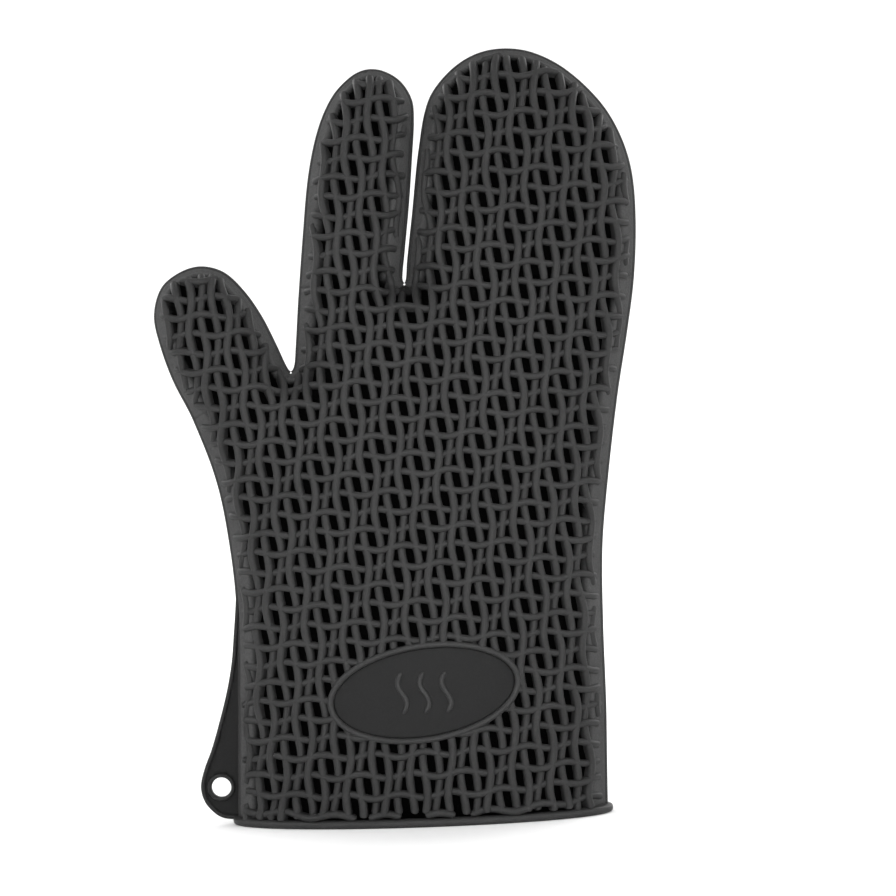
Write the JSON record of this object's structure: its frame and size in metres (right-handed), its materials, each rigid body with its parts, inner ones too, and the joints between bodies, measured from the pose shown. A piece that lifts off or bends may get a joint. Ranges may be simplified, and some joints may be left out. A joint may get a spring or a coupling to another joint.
{
  "type": "oven mitt",
  "caption": "Moulded silicone oven mitt with a thumb, an index finger and a mitten pocket, woven relief, an oval badge and a hang tab; the digits flex.",
  "frame": {"origin": "middle of the bounding box, on the plane that the cuff rests on", "axes": "+Z towards the fingertips, +X across the mitt from the thumb to the mitten pocket, -Y out of the face with the badge"},
  "size_m": [0.1806, 0.0518, 0.2835],
  "materials": {
    "skin": "matte moulded silicone, dark grey",
    "weave": "satin moulded silicone, dark grey",
    "trim": "satin moulded silicone, dark grey",
    "badge": "smooth moulded silicone, dark grey"
  },
  "bodies": {
    "palm": {"palm_front_skin": "skin", "palm_back_skin": "skin", "palm_front_weave": "weave", "palm_back_weave": "weave", "palm_seam": "trim", "cuff_bead": "trim", "badge_bezel": "badge", "badge_plate": "badge", "badge_emblem": "badge"},
    "thumb": {"thumb_front_skin": "skin", "thumb_back_skin": "skin", "thumb_front_weave": "weave", "thumb_back_weave": "weave", "thumb_seam": "trim", "thumb_flex_sleeve": "skin"},
    "index": {"index_front_skin": "skin", "index_back_skin": "skin", "index_front_weave": "weave", "index_back_weave": "weave", "index_seam": "trim", "index_flex_sleeve": "skin"},
    "mitten": {"mitten_front_skin": "skin", "mitten_back_skin": "skin", "mitten_front_weave": "weave", "mitten_back_weave": "weave", "mitten_seam": "trim", "mitten_flex_sleeve": "skin"},
    "hang_tab": {"tab_web": "trim", "tab_border": "trim", "tab_eyelet": "trim"}
  },
  "joints": [
    {"name": "thumb_flex", "type": "hinge", "parent": "palm", "child": "thumb", "pos_m": [-0.06242, 0, 0.16789], "axis": [0.9135, 0, 0.4067], "range_deg": [-40, 40], "stiffness_Nm_per_rad": 0.4, "deforming": ["thumb_flex_sleeve"]},
    {"name": "index_flex", "type": "hinge", "parent": "palm", "child": "index", "pos_m": [-0.01505, 0, 0.213], "axis": [1, 0, 0], "range_deg": [-50, 50], "stiffness_Nm_per_rad": 0.4, "deforming": ["index_flex_sleeve"]},
    {"name": "mitten_flex", "type": "hinge", "parent": "palm", "child": "mitten", "pos_m": [0.04695, 0, 0.213], "axis": [1, 0, 0], "range_deg": [-50, 50], "stiffness_Nm_per_rad": 0.8, "deforming": ["mitten_flex_sleeve"]},
    {"name": "tab_flex", "type": "hinge", "parent": "palm", "child": "hang_tab", "pos_m": [-0.06635, 0, 0.04], "axis": [0, 0, 1], "range_deg": [-60, 60], "stiffness_Nm_per_rad": 0.02}
  ]
}
